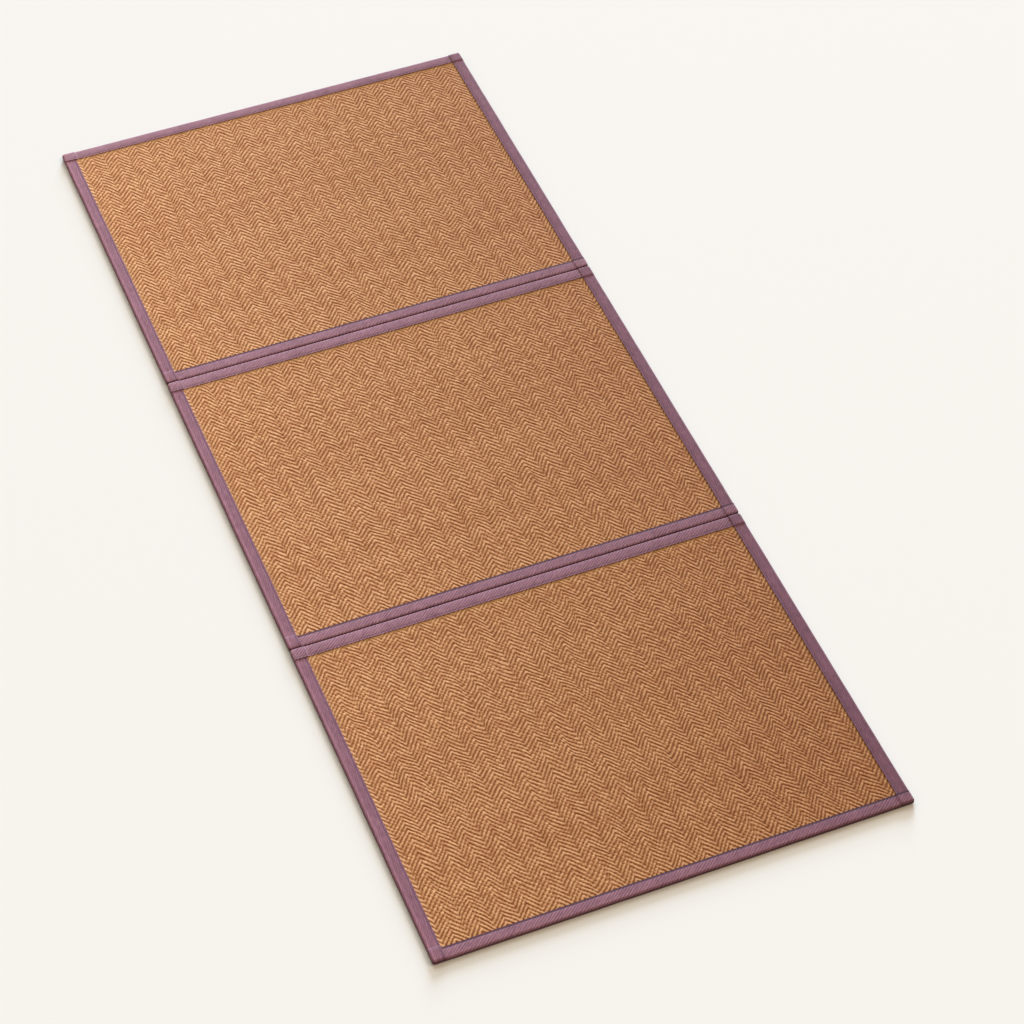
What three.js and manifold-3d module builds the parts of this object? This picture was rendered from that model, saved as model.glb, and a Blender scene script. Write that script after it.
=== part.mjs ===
// A folding floor mat: three woven rush panels in a row, each bound on its four sides with
// cotton tape, and joined at the two folds by a cloth strip under the panels' edges.
// Millimetres, +Z up. The origin is on the floor, under the mat's centre. X runs across the
// mat, and Y along it.
import * as THREE from "three";
import { mergeVertices } from "three/addons/utils/BufferGeometryUtils.js";
import Module from "manifold-3d";

const wasm = await Module();
wasm.setup();

// The driving sizes.
const MAT_WIDTH = 700;
const MAT_LENGTH = 1700;
const FOLD_GAP = 2.6; // open groove between two neighbouring panels
const TAPE_WIDTH = 19; // how far a tape reaches in from the panel's outer edge
const TAPE_THICK = 1;
const RUSH_THICK = 4.4;
const CLEARANCE = 0.3; // air between two pieces that lie on each other
const EDGE_RADIUS = 3; // outside of the fold where a tape turns round the panel's edge
const CORNER_RADIUS = 4; // the panel's corners, seen from above
const LAP_SLOPE = 3.5; // length over which a tape climbs onto the tape it laps

// What follows from them.
const PANEL_LENGTH = (MAT_LENGTH - 2 * FOLD_GAP) / 3;
const PANEL_PITCH = PANEL_LENGTH + FOLD_GAP;
const LAP_RISE = TAPE_THICK + CLEARANCE;
const TAPE_HEIGHT = RUSH_THICK + 2 * LAP_RISE; // from the floor to a tape's upper face
const EDGE_INSET = EDGE_RADIUS; // the rush, and a lapped tape's end, stop inside the bend
const LAP_LENGTH = TAPE_WIDTH + CLEARANCE; // how much of a tape the next one covers
const REACH = 60; // how far a cutting block runs past what it cuts

// Directions for the ends of an arc.
const RIGHT = 0;
const UP = 0.5 * Math.PI;
const LEFT = Math.PI;
const DOWN = 1.5 * Math.PI;

const rushMaterial = new THREE.MeshStandardMaterial({ color: "#b98353", roughness: 0.8, metalness: 0 });
const tapeMaterial = new THREE.MeshStandardMaterial({ color: "#94707d", roughness: 0.85, metalness: 0 });

// A closed three.js geometry as a manifold-3d solid.
function toSolid(geometry) {
  const bare = geometry.clone();
  bare.deleteAttribute("normal");
  bare.deleteAttribute("uv");
  const merged = mergeVertices(bare, 1e-4);
  return new wasm.Manifold(
    new wasm.Mesh({
      numProp: 3,
      vertProperties: new Float32Array(merged.attributes.position.array),
      triVerts: new Uint32Array(merged.index.array),
    }),
  );
}

// A manifold-3d solid as a three.js geometry.
function toGeometry(solid) {
  const { vertProperties, triVerts } = solid.getMesh();
  const geometry = new THREE.BufferGeometry();
  geometry.setAttribute("position", new THREE.BufferAttribute(vertProperties, 3));
  geometry.setIndex(new THREE.BufferAttribute(triVerts, 1));
  geometry.computeVertexNormals();
  return geometry;
}

// A solid block between two corners.
function block(low, high) {
  const size = high.map((value, axis) => value - low[axis]);
  const geometry = new THREE.BoxGeometry(...size);
  geometry.translate(...low.map((value, axis) => value + size[axis] / 2));
  return toSolid(geometry);
}

// The section of a slab with a round nose, inside one face of a folded tape. The outer face
// has an inset of 0, and the inner face of the tape's thickness. The shape's x runs in from
// the panel's edge, and its y runs up from the floor.
function noseShape(inset, height, depth) {
  const radius = EDGE_RADIUS - inset;
  const nose = new THREE.Shape();
  nose.moveTo(depth, inset);
  nose.lineTo(EDGE_RADIUS, inset);
  nose.absarc(EDGE_RADIUS, EDGE_RADIUS, radius, DOWN, LEFT, true);
  nose.absarc(EDGE_RADIUS, height - EDGE_RADIUS, radius, LEFT, UP, true);
  nose.lineTo(depth, height - inset);
  nose.closePath();
  return nose;
}

// That slab along one side of a panel. The side runs along +X from 0 to its length, with the
// panel's edge at y = 0 and the panel at y > 0. Near its end the slab climbs onto the tape
// that it laps, and at its end it has a round nose too.
function roundedSlab(inset, depth, start, length) {
  const lap = length - LAP_LENGTH;
  const stations = [start, lap - LAP_SLOPE, lap, length + REACH];
  const steps = stations.length - 1;
  const run = new THREE.ExtrudeGeometry(noseShape(inset, TAPE_HEIGHT, depth), {
    depth: steps,
    steps,
    curveSegments: 4,
    bevelEnabled: false,
  });
  const points = run.attributes.position;
  for (let i = 0; i < points.count; i++) {
    const ring = Math.round(points.getZ(i));
    const upper = points.getY(i) > TAPE_HEIGHT / 2;
    if (upper && ring >= 2) points.setY(i, points.getY(i) + LAP_RISE);
    points.setZ(i, stations[ring]);
  }
  const acrossTheRun = new THREE.Vector3(0, 1, 0);
  const up = new THREE.Vector3(0, 0, 1);
  const alongTheRun = new THREE.Vector3(1, 0, 0);
  run.applyMatrix4(new THREE.Matrix4().makeBasis(acrossTheRun, up, alongTheRun));

  const end = new THREE.ExtrudeGeometry(noseShape(inset, TAPE_HEIGHT + LAP_RISE, length + REACH), {
    depth: depth + 2 * REACH,
    curveSegments: 4,
    bevelEnabled: false,
  });
  const backFromTheEnd = new THREE.Vector3(-1, 0, 0);
  end.applyMatrix4(
    new THREE.Matrix4().makeBasis(backFromTheEnd, up, acrossTheRun).setPosition(length, -REACH, 0),
  );
  return toSolid(run).intersect(toSolid(end));
}

// A panel's outline, drawn in by an inset, as a tall block that rounds the tapes' corners.
function outlineBlock(inset) {
  const x = MAT_WIDTH / 2 - inset;
  const y = PANEL_LENGTH / 2 - inset;
  const r = CORNER_RADIUS - inset;
  const outline = new THREE.Shape();
  outline.moveTo(-x + r, -y);
  outline.lineTo(x - r, -y);
  outline.absarc(x - r, -y + r, r, DOWN, RIGHT, false);
  outline.absarc(x - r, y - r, r, RIGHT, UP, false);
  outline.absarc(-x + r, y - r, r, UP, LEFT, false);
  outline.absarc(-x + r, -y + r, r, LEFT, DOWN, false);
  outline.closePath();
  const tall = new THREE.ExtrudeGeometry(outline, { depth: 2 * REACH, curveSegments: 5, bevelEnabled: false });
  tall.translate(0, 0, -REACH);
  return toSolid(tall);
}

const outerOutline = outlineBlock(0);
const innerOutline = outlineBlock(0.9 * TAPE_THICK);

// One tape, folded round its side of a panel. It starts flat under the end of the tape before
// it, and its own end wraps the corner over the start of the next.
function foldedTape(side, place) {
  const outer = roundedSlab(0, TAPE_WIDTH, EDGE_INSET, side.length).transform(place).intersect(outerOutline);
  const inner = roundedSlab(TAPE_THICK, TAPE_WIDTH + REACH, 0, side.length)
    .transform(place)
    .intersect(innerOutline);
  let tape = outer.subtract(inner);
  const cutAway = (low, high) => {
    tape = tape.subtract(block(low, high).transform(place));
  };
  // Under the lap only the upper flap is left, and underneath only one piece fills each
  // corner, so that the mat lies flat.
  cutAway([-REACH, -REACH, -REACH], [LAP_LENGTH, EDGE_INSET, REACH]);
  if (side.onFold) {
    cutAway([-REACH, -REACH, -REACH], [side.length + REACH, REACH, LAP_RISE]);
  } else {
    cutAway([-REACH, -REACH, -REACH], [LAP_LENGTH, REACH, LAP_RISE]);
  }
  if (side.endsAtFold) {
    cutAway([side.length - LAP_LENGTH, -REACH, -REACH], [side.length + REACH, REACH, LAP_RISE]);
  }
  return tape;
}

// The four tapes of one panel, each lapping the next, anticlockwise from above.
function bindingTapes(panel) {
  const x = MAT_WIDTH / 2;
  const y = PANEL_LENGTH / 2;
  const sides = [
    { name: "front", length: MAT_WIDTH, at: [-x, -y], onFold: panel.foldInFront, endsAtFold: false },
    { name: "right", length: PANEL_LENGTH, at: [x, -y], onFold: false, endsAtFold: panel.foldBehind },
    { name: "back", length: MAT_WIDTH, at: [x, y], onFold: panel.foldBehind, endsAtFold: false },
    { name: "left", length: PANEL_LENGTH, at: [-x, y], onFold: false, endsAtFold: panel.foldInFront },
  ];
  return sides.map((side, quarter) => {
    const place = new THREE.Matrix4().makeRotationZ((quarter * Math.PI) / 2);
    place.setPosition(side.at[0], side.at[1], 0);
    const mesh = new THREE.Mesh(toGeometry(foldedTape(side, place.elements)), tapeMaterial);
    mesh.name = `tape_${panel.name}_${side.name}`;
    return mesh;
  });
}

// The woven rush of one panel.
function rushPanel(name) {
  const size = [MAT_WIDTH - 2 * EDGE_INSET, PANEL_LENGTH - 2 * EDGE_INSET, RUSH_THICK];
  const mesh = new THREE.Mesh(new THREE.BoxGeometry(...size), rushMaterial);
  mesh.name = name;
  mesh.position.z = LAP_RISE + RUSH_THICK / 2;
  return mesh;
}

// The cloth strip that joins two panels. It takes the place of their tapes' lower flaps, and
// stops short of the mat's rounded edges.
function foldStrip(name, y) {
  const size = [MAT_WIDTH - 2 * EDGE_INSET, 2 * TAPE_WIDTH + FOLD_GAP, TAPE_THICK];
  const mesh = new THREE.Mesh(new THREE.BoxGeometry(...size), tapeMaterial);
  mesh.name = name;
  mesh.position.set(0, y, TAPE_THICK / 2);
  return mesh;
}

const PANELS = [
  { name: "near", y: -PANEL_PITCH, foldInFront: false, foldBehind: true },
  { name: "middle", y: 0, foldInFront: true, foldBehind: true },
  { name: "far", y: PANEL_PITCH, foldInFront: true, foldBehind: false },
];

const mat = new THREE.Group();
for (const panel of PANELS) {
  const group = new THREE.Group();
  group.position.y = panel.y;
  group.add(rushPanel(`rush_${panel.name}`), ...bindingTapes(panel));
  mat.add(group);
}
mat.add(foldStrip("fold_strip_near", -PANEL_PITCH / 2), foldStrip("fold_strip_far", PANEL_PITCH / 2));

export default mat;
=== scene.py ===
# %% [markdown]
# # A folding rush mat, bound in cotton tape
# Three panels of woven rush lie in a row. Each is bound on its four sides with a cotton tape that
# is folded over the edge and machine stitched, and two strips of cloth underneath join the panels.
# The solids of the mat are already made to size. This lesson loads them as a frame,
# and dresses each one with the surface that the real piece has.

import math

import bmesh
import bpy
from mathutils import Matrix, Vector, noise


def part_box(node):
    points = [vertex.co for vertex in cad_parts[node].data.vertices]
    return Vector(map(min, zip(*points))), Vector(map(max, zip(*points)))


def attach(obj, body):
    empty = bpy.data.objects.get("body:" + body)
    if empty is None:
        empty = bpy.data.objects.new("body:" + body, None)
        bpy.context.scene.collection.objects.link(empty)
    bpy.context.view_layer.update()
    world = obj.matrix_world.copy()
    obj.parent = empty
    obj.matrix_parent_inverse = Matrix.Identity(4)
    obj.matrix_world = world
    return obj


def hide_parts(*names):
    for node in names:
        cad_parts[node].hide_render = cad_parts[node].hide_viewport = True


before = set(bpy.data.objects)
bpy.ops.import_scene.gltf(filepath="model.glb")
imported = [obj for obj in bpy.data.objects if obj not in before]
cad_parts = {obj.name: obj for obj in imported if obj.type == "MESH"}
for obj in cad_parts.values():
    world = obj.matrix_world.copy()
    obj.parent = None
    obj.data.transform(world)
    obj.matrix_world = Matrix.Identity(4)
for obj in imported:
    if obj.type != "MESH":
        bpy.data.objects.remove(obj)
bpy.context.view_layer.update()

# %% [markdown]
# ## Sizes
# Everything is in metres, so a millimetre gets a name. The outlines come from the frame: the four
# tapes of a panel reach its outer edge, and one tape's depth is the width of them all. The rest
# are sizes that other cells share and a box can't tell, such as how tightly a tape is bent.

# %% Sizes
MM = 0.001
PANELS = ("near", "middle", "far")
SIDES = ("front", "right", "back", "left")


def panel_box(panel):
    """The lowest and highest corner of a panel with its tapes."""
    boxes = [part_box(f"tape_{panel}_{side}") for side in SIDES]
    low = Vector([min(box[0][axis] for box in boxes) for axis in range(3)])
    high = Vector([max(box[1][axis] for box in boxes) for axis in range(3)])
    return low, high


tape_low, tape_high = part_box("tape_middle_left")
TAPE_WIDTH = tape_high.x - tape_low.x
TAPE_THICK = 0.9 * MM
LAP_RISE = 1.3 * MM  # a tape climbs this much to lie on the tape it laps
LAP_LENGTH = TAPE_WIDTH + 0.3 * MM
TAPE_TOP = tape_high.z - LAP_RISE
EDGE_RADIUS = 3 * MM  # the bend where a tape turns round the panel's edge
CORNER_RADIUS = 4 * MM  # the panel's corners, seen from above
STITCH_INSET = 2.6 * MM  # from the tape's selvedge to its line of stitches
print("tape", round(TAPE_WIDTH / MM, 1), "mm wide, its top at", round(TAPE_TOP / MM, 1), "mm")

# %% [markdown]
# ## The camera
# The camera looks down on the mat with a long lens, so that the edges hardly converge. Its place
# is given by the point it stands at and the two angles it is turned by.

# %% Camera
EYE = Vector((-1.0884, -2.9527, 3.3545))
LOOKS_TOWARDS = 21.99  # degrees clockwise from +Y, seen from above
LOOKS_DOWN = 48.0
LENS_MM = 107.8
SENSOR_MM = 36

scene = bpy.context.scene
camera = bpy.data.objects.new("camera", bpy.data.cameras.new("camera"))
scene.collection.objects.link(camera)
camera.location = EYE
camera.rotation_euler = (math.radians(90 - LOOKS_DOWN), 0, -math.radians(LOOKS_TOWARDS))
camera.data.lens = LENS_MM
camera.data.sensor_width = SENSOR_MM
camera.data.clip_start = 0.05  # nothing nearer than 5 cm is drawn
scene.camera = camera
print("camera at", tuple(camera.location))

# %% [markdown]
# ## Tools for colours, materials and meshes
# Colours are written as they would be picked on a screen, and turned to the linear numbers that
# light adds up in. A material is a tree of nodes. A node's inputs could be linked one by one, but
# with one helper that takes values and links alike, a node and all it needs is a single call.

# %% Colours, nodes and finished pieces


def linear(hex_colour):
    """A colour such as "#b98353", as the linear red, green, blue and alpha that nodes take."""
    parts = [int(hex_colour[i : i + 2], 16) / 255 for i in (1, 3, 5)]
    return [p / 12.92 if p <= 0.04045 else ((p + 0.055) / 1.055) ** 2.4 for p in parts] + [1]


def add(tree, kind, inputs=None, **settings):
    """Adds a node with its settings, and a value or a link for each input that is named."""
    made = tree.nodes.new(kind)
    for name, value in settings.items():
        setattr(made, name, value)
    for name, value in (inputs or {}).items():
        if isinstance(value, bpy.types.NodeSocket):
            tree.links.new(value, made.inputs[name])
        else:
            made.inputs[name].default_value = value
    return made


def new_material(name, colour, roughness, sheen=0.0):
    """A material with one Principled shader. Returns it with its tree and its shader."""
    material = bpy.data.materials.new(name)
    material.use_nodes = True
    tree = material.node_tree
    shader = tree.nodes["Principled BSDF"]
    shader.inputs["Base Color"].default_value = linear(colour)
    shader.inputs["Roughness"].default_value = roughness
    shader.inputs["Sheen Weight"].default_value = sheen
    return material, tree, shader


def finished(form, name):
    """Makes a bmesh into an object of the scene, at the origin, with its place in its mesh."""
    mesh = bpy.data.meshes.new(name)
    form.to_mesh(mesh)
    form.free()
    made = bpy.data.objects.new(name, mesh)
    scene.collection.objects.link(made)
    return made


print("middle grey, #808080, is", round(linear("#808080")[0], 3), "in linear light")

# %% [markdown]
# ## The floor
# The mat lies on a pale floor of matt paper. Paper shows the shadows and nothing else, so the eye
# goes to the mat. A curved backdrop would do as well for one view, but a floor that reaches past
# the horizon is right from every side.

# %% The floor
FLOOR_SIZE = 160  # so large that no view from a low angle sees its edge
FLOOR_SQUARES = 32  # each way, as one face this large would be drawn less exactly
FLOOR_DROP = 0.1 * MM  # just under the mat, so that the two don't share a surface

# Uncoated paper is matt all over, so the eye sees only its shadows.
paper, _, _ = new_material("studio_paper", "#f7f6f4", 0.9)
sheet = bmesh.new()
bmesh.ops.create_grid(
    sheet,
    x_segments=FLOOR_SQUARES,
    y_segments=FLOOR_SQUARES,
    size=FLOOR_SIZE / 2,
    matrix=Matrix.Translation((0, 0, -FLOOR_DROP)),
)
floor = finished(sheet, "floor")
floor.data.materials.append(paper)
print("floor of", len(floor.data.polygons), "squares")

# %% [markdown]
# ## The light
# To warm, even room light are added a broad window and a low, cool sky, both behind the mat and a
# little to the right, and a weak warm lamp on the right. The low light rakes across the weave and
# draws the mat's soft shadow out towards the front and the left. Area lamps would fall off across
# a mat this long. Sun lamps light the whole floor evenly, and a wide angle makes their shadows as
# soft as a studio's.

# %% Room light and lamps
ROOM_LIGHT = 0.39  # 1 would make white paper white with no lamp on
WARM = (1.05, 0.88, 0.66)
PALE_BLUE = (0.92, 1.015, 1.07)
SKY_BLUE = (0.86, 1.07, 1.34)

scene.view_settings.view_transform = "Standard"
world = bpy.data.worlds.new("studio")
world.use_nodes = True
room = world.node_tree.nodes["Background"]
room.inputs["Color"].default_value = linear("#ffe7c5")
room.inputs["Strength"].default_value = ROOM_LIGHT
scene.world = world


def sun(name, comes_from, elevation, floor_light, softness, colour):
    """A sun lamp. It comes from a compass direction, in degrees clockwise from +Y, and
    floor_light is how much it adds to the floor, where 1 would make white paper white."""
    lamp = bpy.data.lights.new(name, "SUN")
    lamp.energy = math.pi * floor_light / math.sin(math.radians(elevation))
    lamp.angle = math.radians(softness)
    lamp.color = colour
    made = bpy.data.objects.new(name, lamp)
    made.rotation_euler = (math.radians(90 - elevation), 0, math.radians(180 - comes_from))
    scene.collection.objects.link(made)
    print("lamp", name, "of strength", round(lamp.energy, 2))


sun("key", comes_from=105, elevation=46, floor_light=0.13, softness=20, colour=WARM)
sun("window", comes_from=12, elevation=36, floor_light=0.26, softness=50, colour=PALE_BLUE)
sun("low_sky", comes_from=26, elevation=13, floor_light=0.26, softness=20, colour=SKY_BLUE)

# %% [markdown]
# ## The weave of the rush
# The mat is woven of dyed rush stalks in a herringbone twill. The ridges of the twill run up to
# the right in one column and down to the right in the next, so they make long zigzags across the
# mat. A flat sheet with a bump texture would look flat from a low angle, so the ridges are real.
# The trick is to lay the rows of a grid along the zigzags. Each ridge then needs only five rows,
# a groove and four round its back, where a plain grid would need a very fine mesh. Each column
# has six stations, set closer at the two tips of the zigzag, where the stalks dive under.

# %% The size of the weave
COLUMN = 18.16 * MM  # the width of one herringbone column
RIDGES = {"near": 8.3 * MM, "middle": 8.7 * MM, "far": 8.7 * MM}  # along the mat, ridge to ridge
ARM_SLOPE = math.radians(49)
ZIGZAG = COLUMN * math.tan(ARM_SLOPE)  # how far an arm climbs in one column
FIRST_TIP = 1.8 * MM  # from the left tape to the first low tip: one cloth makes all the panels
RELIEF = 0.85 * MM  # from groove to crest
RUSH_CREST = 5.75 * MM
RUSH_BACK = 1.5 * MM
UNDER_TAPE = 2.5 * MM  # the weave is modelled this far in under the tape
PRESSED = 0.35 * MM  # how much lower it lies where the tape begins
RIM_TOP = 4.6 * MM  # inside the tape the rush is pressed thin
RIM_BACK = 2.4 * MM

# Each pair is a place, as a share of a ridge or of a column, and the height there.
ROWS = ((0, 0), (0.17, 0.62), (0.4, 1), (0.6, 0.98), (0.84, 0.55))
STATIONS = ((0, 0.5), (0.08, 0.8), (0.22, 1), (0.5, 1), (0.78, 1), (0.92, 0.8))
BACK_ROWS = ((0, 0), (0.3, 1), (0.7, 1))
BACK_STATIONS = ((0, 0.5), (0.5, 1))
print("an arm climbs", round(ZIGZAG / MM, 1), "mm in a column of", round(COLUMN / MM, 1), "mm")

# %% [markdown]
# ## A weave that isn't even
# Handmade cloth is never even. The edge of each column strays a few millimetres to and fro, each
# column's ridges slip along the mat, the whole cloth bends a little, and each arm has a height of
# its own. All of it comes from smooth noise with fixed seeds, so it is the same in every run, and
# neighbouring points always move together.

# %% How the weave strays
SEEDS = {"near": 11.0, "middle": 47.0, "far": 83.0}
TIP = 0.16  # the share of a column, either side of its edge, over which the stalks turn
STRAY, STRAY_SPAN = 3.2 * MM, 60 * MM  # a column's edge, across the mat
SLIP, SLIP_SPAN = 6.5 * MM, 75 * MM  # a column's ridges, along the mat
STRAY_APART, SLIP_APART = 7.7, 5.3  # far apart in the noise, so that columns differ
BROAD, BROAD_SPAN_X, BROAD_SPAN_Y = 12 * MM, 190 * MM, 420 * MM
BEND, BEND_SPAN = 3 * MM, 75 * MM
TWIST, TWIST_SPAN = 0.9 * MM, 17 * MM


def ease(value):
    """A smooth step from 0 to 1."""
    value = max(0, min(1, value))
    return value * value * (3 - 2 * value)


def hump(distance, width):
    """1 at no distance, and falling smoothly to nothing."""
    return math.exp(-((distance / width) ** 2))


def wander(a, b, seed):
    """A smooth random number from -1 to 1."""
    return noise.noise(Vector((a, b, seed)))


def column_stray(column, along, seed):
    """How far a column's edge has strayed across the mat, and how far its ridges have slipped."""
    across = STRAY * wander(STRAY_APART * column, along / STRAY_SPAN, seed)
    return across, SLIP * wander(SLIP_APART * column, along / SLIP_SPAN, seed + 9)


def weave_point(column, ridge, spacing, seed):
    """The place of a point of the weave, seen from above, from its column and ridge numbers."""
    whole = math.floor(column + 0.5)
    part = column - whole
    zigzag = abs(column % 2 - 1)
    x = column * COLUMN
    y = ridge * spacing - zigzag * ZIGZAG
    here, there = (column_stray(whole + side, y, seed) for side in (0, 1 if part > 0 else -1))
    x += here[0] + (there[0] - here[0]) * abs(part)
    turn = 0.5 * (1 + max(-1, min(1, part / TIP)))
    before, after = (column_stray(whole + 0.5 + side, y, seed)[1] for side in (-1, 0))
    y += before + (after - before) * ease(turn)
    broad = BROAD * wander(x / BROAD_SPAN_X, y / BROAD_SPAN_Y, seed + 21)
    bend = BEND * wander(x / BEND_SPAN, y / BEND_SPAN, seed + 22)
    twist = TWIST * wander(x / TWIST_SPAN, y / TWIST_SPAN, seed + 23)
    return x + broad + 0.5 * twist, y + bend + twist


strayed, slipped = column_stray(4, 0, SEEDS["near"])
print("the fourth column strays", round(strayed / MM, 2), "and slips", round(slipped / MM, 2), "mm")

# %% [markdown]
# ## How high the weave stands
# A ridge is highest half way along an arm, and dives at each tip under the next column. One ridge
# is pulled a little tighter than another, and the columns that fall to the right are woven
# flatter. The height is kept apart from the place, as a share of the relief, so that either can be
# changed alone. The same cell says how much painted light the rush gets close to each tape.

# %% Heights, and painted light close to the tapes
EVEN_LIFT = 0.97
ARM_LIFT = 0.16  # how much one arm may stand over another
PATCH_LIFT, PATCH_COLUMNS, PATCH_RIDGES = 0.08, 4.1, 6.3  # how much, over how many of each
FALLING_DROP = 0.34
TIP_DIVE = 0.3
EDGE_LIGHT_SHARES = (0.26, 0.24, -0.06, 0.6)  # painted light beside the left, right, front and back tape; below 0 is painted shade
EDGE_LIGHT_WIDTH = 3.8 * MM


def weave_height(column, ridge, row_height, station_height, seed):
    """The height of a point between the groove, 0, and the crest, 1."""
    arm = noise.cell(Vector((math.floor(column) + 0.5, math.floor(ridge) + 0.5, seed)))
    patch = wander(column / PATCH_COLUMNS, ridge / PATCH_RIDGES, seed + 33)
    falling = math.floor(column) % 2
    lift = EVEN_LIFT + ARM_LIFT * arm + PATCH_LIFT * patch - FALLING_DROP * falling
    return row_height * station_height * lift - TIP_DIVE * (1 - station_height)


def painted_edge_light(gaps):
    """How much painted light the rush gets close to each of its four tapes; below 0 is painted
    shade.
    """
    paler = 0
    for gap, share in zip(gaps, EDGE_LIGHT_SHARES):
        paler += share * hump(max(0, gap - UNDER_TAPE), EDGE_LIGHT_WIDTH)
    return paler


print("a crest of the near panel stands at", round(weave_height(4, 6, 1, 1, SEEDS["near"]), 2))

# %% [markdown]
# ## One woven face
# A face is a grid from bmesh, with one line for each station and each row. Every point is moved to
# where the weave has it, and is told its column, its ridge and its crossing ridge, which the
# material needs later. A zigzag can't be cut straight by leaving out grid lines, so the grid is
# laid too large, and four planes trim it just under the tapes.

# %% Lay the grid along the zigzags


def places(fractions, count):
    """The numbered places of a repeated row of fractions, with the height of each."""
    repeated = [(i + at, height) for i in range(count) for at, height in fractions]
    return repeated + [(count, fractions[0][1])]


def trim_square(skin, left, right, front, back):
    """Cuts a skin off at four upright planes."""
    for point, normal in (
        ((left, 0, 0), (-1, 0, 0)),
        ((right, 0, 0), (1, 0, 0)),
        ((0, front, 0), (0, -1, 0)),
        ((0, back, 0), (0, 1, 0)),
    ):
        everything = skin.verts[:] + skin.edges[:] + skin.faces[:]
        bmesh.ops.bisect_plane(
            skin, geom=everything, plane_co=point, plane_no=normal, clear_outer=True
        )


def weave_skin(panel, rows, stations, sign):
    """One face of a panel's rush, trimmed just under the tapes. sign is 1 for the upper face."""
    seed, spacing = SEEDS[panel], RIDGES[panel]
    low, high = panel_box(panel)
    reach = TAPE_WIDTH - UNDER_TAPE
    left, right = low.x + reach, high.x - reach
    front, back = low.y + reach, high.y - reach
    first_tip = low.x + TAPE_WIDTH + FIRST_TIP - 2 * COLUMN
    columns = places(stations, math.ceil((right - first_tip) / COLUMN) + 1)
    ridges = places(rows, math.ceil((back - front + ZIGZAG) / spacing) + 3)
    skin = bmesh.new()
    weave = skin.verts.layers.float_vector.new("weave")
    # A layer for the painted light that the rush gets close to the tapes.
    beside = skin.verts.layers.float.new("painted_edge_light")
    last_column, last_ridge = len(columns) - 1, len(ridges) - 1

    # The grid starts two columns and a ridge and a half early, so that no stray leaves a gap.
    bmesh.ops.create_grid(skin, x_segments=last_column, y_segments=last_ridge, size=0.5)
    for vertex in skin.verts:
        column, station_height = columns[round((vertex.co.x + 0.5) * last_column)]
        ridge, row_height = ridges[round((vertex.co.y + 0.5) * last_ridge)]
        x, y = weave_point(column, ridge, spacing, seed)
        x, y = x + first_tip, y + front - 1.5 * spacing
        height = weave_height(column, ridge, row_height, station_height, seed)
        gaps = (x - left, right - x, y - front, back - y)
        margin = min(gaps) / (2 * UNDER_TAPE)
        pressed = PRESSED * (1 - max(0, min(1, margin)))
        z = RUSH_CREST - RELIEF * (1 - height) - pressed
        if sign < 0:
            z = RUSH_BACK + RELIEF * (1 - height)
        vertex.co = (x, y, z)
        crossing = ridge - 2 * abs(column % 2 - 1) * ZIGZAG / spacing
        vertex[weave] = (column, ridge, crossing)
        # Each point keeps how much painted light, or painted shade, it gets from the nearby tapes.
        vertex[beside] = painted_edge_light(gaps)
    trim_square(skin, left, right, front, back)
    if sign < 0:
        bmesh.ops.reverse_faces(skin, faces=skin.faces[:])
    return skin


print(len(places(STATIONS, 3)), "lines to three columns,", len(places(ROWS, 3)), "to three ridges")

# %% [markdown]
# ## The whole panel
# Inside the tape the rush is pressed thin and lies flat, and nobody sees it. So the rim of each
# face is drawn out in one step to the edge of the rush, and the two rims are bridged into a closed
# sheet. The underside shows less than the top, and its grid has fewer lines.

# %% Close each panel's sheet
RIM_SLACK = 0.01 * MM  # what still counts as lying on the trimmed edge


def draw_out_rim(skin, panel, z):
    """Extrudes a skin's rim out to the edge of the rush, where it is pressed inside the tape."""
    rim = [edge for edge in skin.edges if edge.is_boundary]
    drawn = bmesh.ops.extrude_edge_only(skin, edges=rim)["geom"]
    low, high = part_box(f"rush_{panel}")
    box_low, box_high = panel_box(panel)
    reach = TAPE_WIDTH - UNDER_TAPE
    for vertex in (part for part in drawn if isinstance(part, bmesh.types.BMVert)):
        for axis in (0, 1):
            if vertex.co[axis] < box_low[axis] + reach + RIM_SLACK:
                vertex.co[axis] = low[axis]
            elif vertex.co[axis] > box_high[axis] - reach - RIM_SLACK:
                vertex.co[axis] = high[axis]
        vertex.co.z = z


def rush_sheet(panel):
    """One panel's rush, with its two woven faces joined round the rim."""
    carrier = bpy.data.meshes.new("carrier")
    both = bmesh.new()
    for rows, stations, sign, z in (
        (ROWS, STATIONS, 1, RIM_TOP),
        (BACK_ROWS, BACK_STATIONS, -1, RIM_BACK),
    ):
        skin = weave_skin(panel, rows, stations, sign)
        draw_out_rim(skin, panel, z)
        skin.to_mesh(carrier)
        skin.free()
        both.from_mesh(carrier)
    bpy.data.meshes.remove(carrier)
    rims = [edge for edge in both.edges if edge.is_boundary]
    bmesh.ops.bridge_loops(both, edges=rims)
    bmesh.ops.recalc_face_normals(both, faces=both.faces[:])
    made = finished(both, f"woven_rush_{panel}")
    made.data.shade_smooth()
    triangles = sum(len(face.vertices) - 2 for face in made.data.polygons)
    print(made.name, triangles, "triangles")
    return made


rush = {panel: rush_sheet(panel) for panel in PANELS}

# %% [markdown]
# ## Rush: its ridges and their crossings
# Rush is a dry, slightly waxy stem, so it is matt with a faint satin. In a twill the ridge is not
# one long cord. It is a line of short floats, where a stalk comes up over the warp and dives again,
# and the floats of neighbouring ridges line up into a second, fainter set of ridges that crosses
# the first. An image of the weave would be the usual way, but it would stretch and repeat. Here
# the material reads the numbers that every point carries, its column, ridge and crossing ridge, so
# the pattern follows the weave wherever it strays.

# %% Rush: the numbers of the weave, made uneven
UNEVEN_SPAN = 4 * MM
RIDGE_WAVER = 0.5  # in ridges
CROSSING_WAVER = 0.8

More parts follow.
